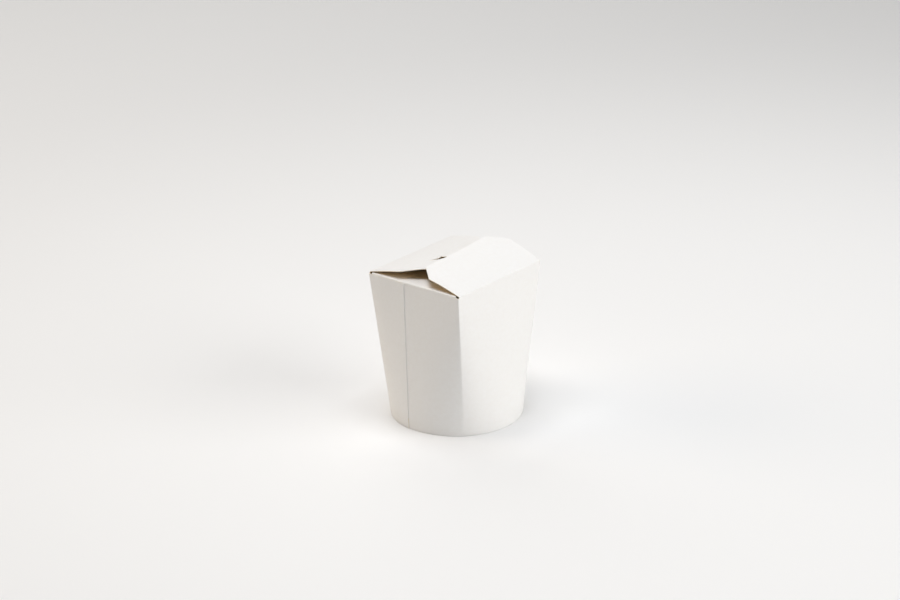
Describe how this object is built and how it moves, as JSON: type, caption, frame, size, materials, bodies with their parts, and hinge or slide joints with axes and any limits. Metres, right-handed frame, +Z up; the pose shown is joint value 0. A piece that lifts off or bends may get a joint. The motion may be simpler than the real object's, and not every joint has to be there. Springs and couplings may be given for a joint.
{
  "type": "paper pasta cup",
  "caption": "Tapered paper food cup, round at the foot and oblong at the shoulder, closed by crossed main flaps with a tongue tucked into a slit.",
  "frame": {"origin": "middle of the round foot, on the surface that the cup stands on", "axes": "+Z up, X along the folds of the main flaps, +Y from the closing flap's fold towards the fold of the flap beneath it"},
  "size_m": [0.0897, 0.09, 0.1163],
  "materials": {
    "board": "matte",
    "bottom_board": "matte"
  },
  "bodies": {
    "cup": {"cup_sheet": "board", "base_disc": "bottom_board"},
    "lid": {"closing_flap": "board"}
  },
  "joints": [
    {"name": "closing_fold", "type": "hinge", "parent": "cup", "child": "lid", "pos_m": [0, -0.03775, 0.104], "axis": [1, 0, 0], "range_deg": [0, 120]}
  ]
}
